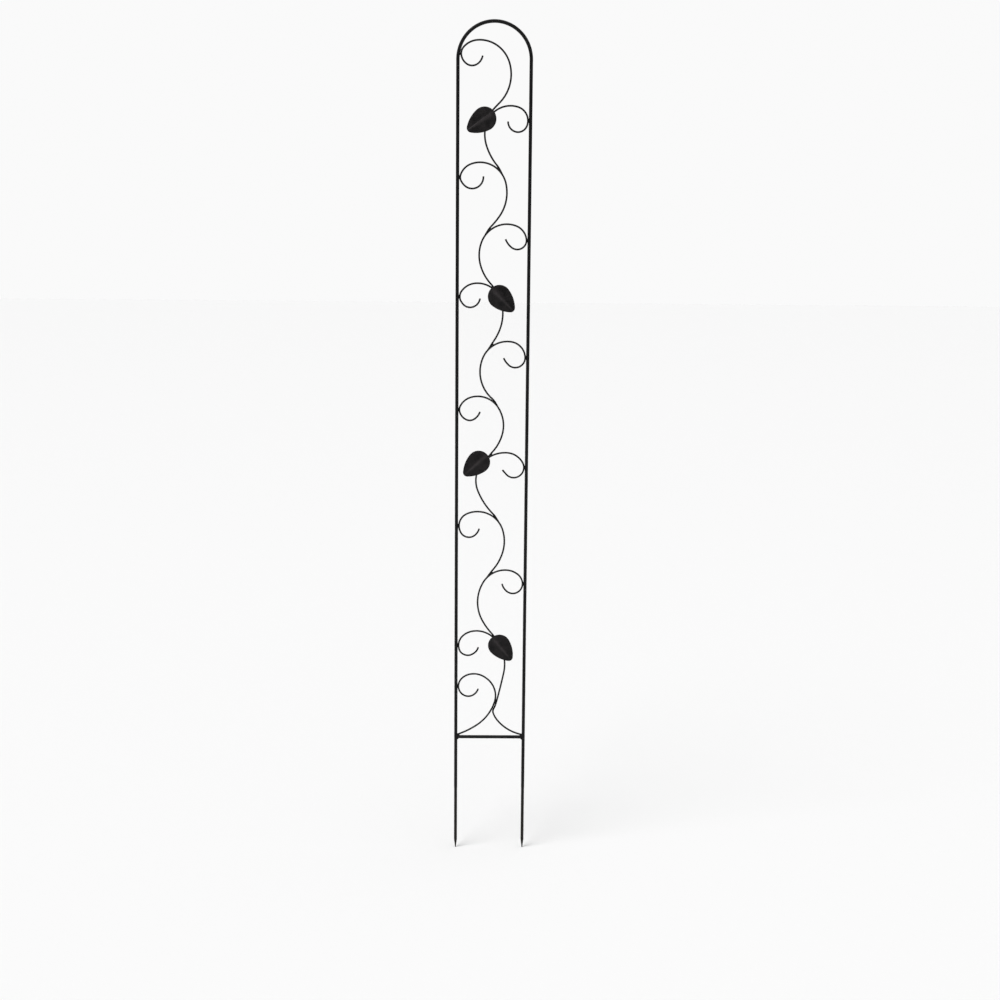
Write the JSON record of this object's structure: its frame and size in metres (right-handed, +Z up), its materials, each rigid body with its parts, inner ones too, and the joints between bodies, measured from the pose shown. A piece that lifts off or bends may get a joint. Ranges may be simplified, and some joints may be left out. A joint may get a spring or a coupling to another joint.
{
  "type": "garden obelisk",
  "caption": "Slim flat pot trellis: arched rod hoop on two ground spikes, filled with alternating wire scrolls and small sheet leaves, black satin coated.",
  "frame": {"origin": "midway between the two leg tips, on the level they reach", "axes": "+X to the right seen from the front, +Y to the back, +Z up towards the arch; every rod and wire lies in the plane Y = 0 and the leaves stand in front of it"},
  "size_m": [0.132, 0.0088, 1.5],
  "materials": {
    "black_coat": "satin",
    "black_coat_leaf": "satin"
  },
  "bodies": {
    "root": {"hoop_frame": "black_coat", "bottom_crossbar": "black_coat", "left_scroll_1": "black_coat", "right_scroll_1": "black_coat", "left_scroll_2": "black_coat", "right_scroll_2": "black_coat", "left_scroll_3": "black_coat", "right_scroll_3": "black_coat", "left_scroll_4": "black_coat", "right_scroll_4": "black_coat", "left_scroll_5": "black_coat", "right_scroll_5": "black_coat", "left_scroll_6": "black_coat", "left_scroll_7": "black_coat", "leaf_1": "black_coat_leaf", "leaf_2": "black_coat_leaf", "leaf_3": "black_coat_leaf", "leaf_4": "black_coat_leaf", "upright_welds": "black_coat", "scroll_welds": "black_coat", "leaf_welds": "black_coat", "corner_welds": "black_coat", "crossbar_welds": "black_coat"}
  },
  "joints": []
}
